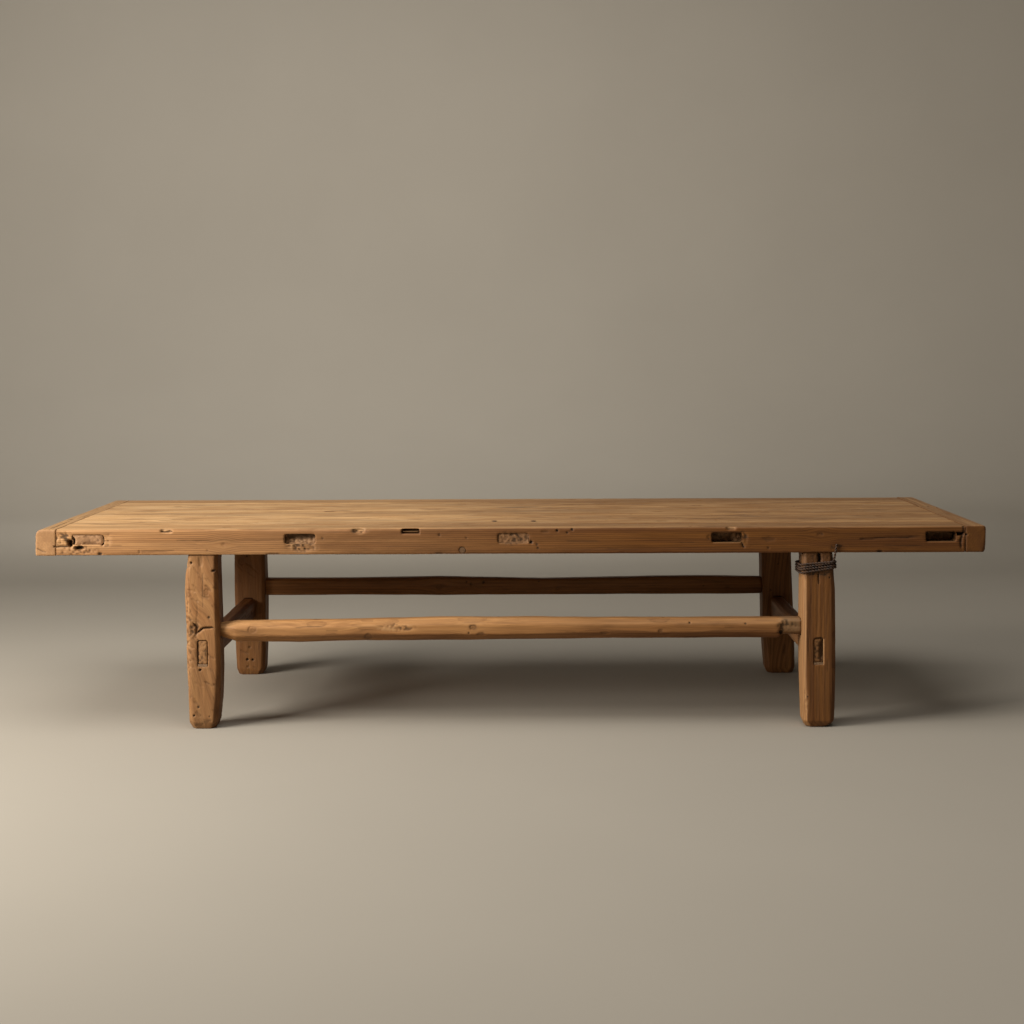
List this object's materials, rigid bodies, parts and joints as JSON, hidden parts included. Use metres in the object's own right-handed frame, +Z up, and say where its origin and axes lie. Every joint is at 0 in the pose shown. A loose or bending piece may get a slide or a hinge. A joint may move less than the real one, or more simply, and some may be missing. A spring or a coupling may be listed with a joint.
{
  "type": "coffee table",
  "caption": "Long low coffee table of reclaimed elm with a framed board top on cross battens, hewn legs, wedged stretchers and a wire-bound leg.",
  "frame": {"origin": "on the floor under the middle of the top", "axes": "+X along the table to the right seen from the front, +Y from front to back, +Z up"},
  "size_m": [2, 0.6447, 0.425],
  "materials": {
    "rail_elm": "worn, dry, open grain",
    "end_board_elm": "worn, dry, open grain",
    "panel_elm": "worn smooth, faintly waxed",
    "batten_elm": "rough end grain",
    "leg_elm": "hewn, dry, weathered",
    "stretcher_elm": "hewn, dry, weathered",
    "peg_wood": "dry end grain",
    "rusty_iron": "rusted"
  },
  "bodies": {
    "root": {"front_rail": "rail_elm", "back_rail": "rail_elm", "left_end_board": "end_board_elm", "right_end_board": "end_board_elm", "panel_board_front": "panel_elm", "panel_board_middle": "panel_elm", "panel_board_back": "panel_elm", "cross_batten_1": "batten_elm", "cross_batten_2": "batten_elm", "cross_batten_3": "batten_elm", "cross_batten_4": "batten_elm", "cross_batten_5": "batten_elm", "leg_front_left": "leg_elm", "leg_front_right": "leg_elm", "leg_back_left": "leg_elm", "leg_back_right": "leg_elm", "front_stretcher": "stretcher_elm", "back_stretcher": "stretcher_elm", "left_stretcher": "stretcher_elm", "right_stretcher": "stretcher_elm", "side_tenon_wedges": "peg_wood", "long_tenon_wedges": "peg_wood", "end_board_pegs": "peg_wood", "rail_plug": "peg_wood", "old_nails": "rusty_iron", "wire_binding": "rusty_iron"}
  },
  "joints": []
}
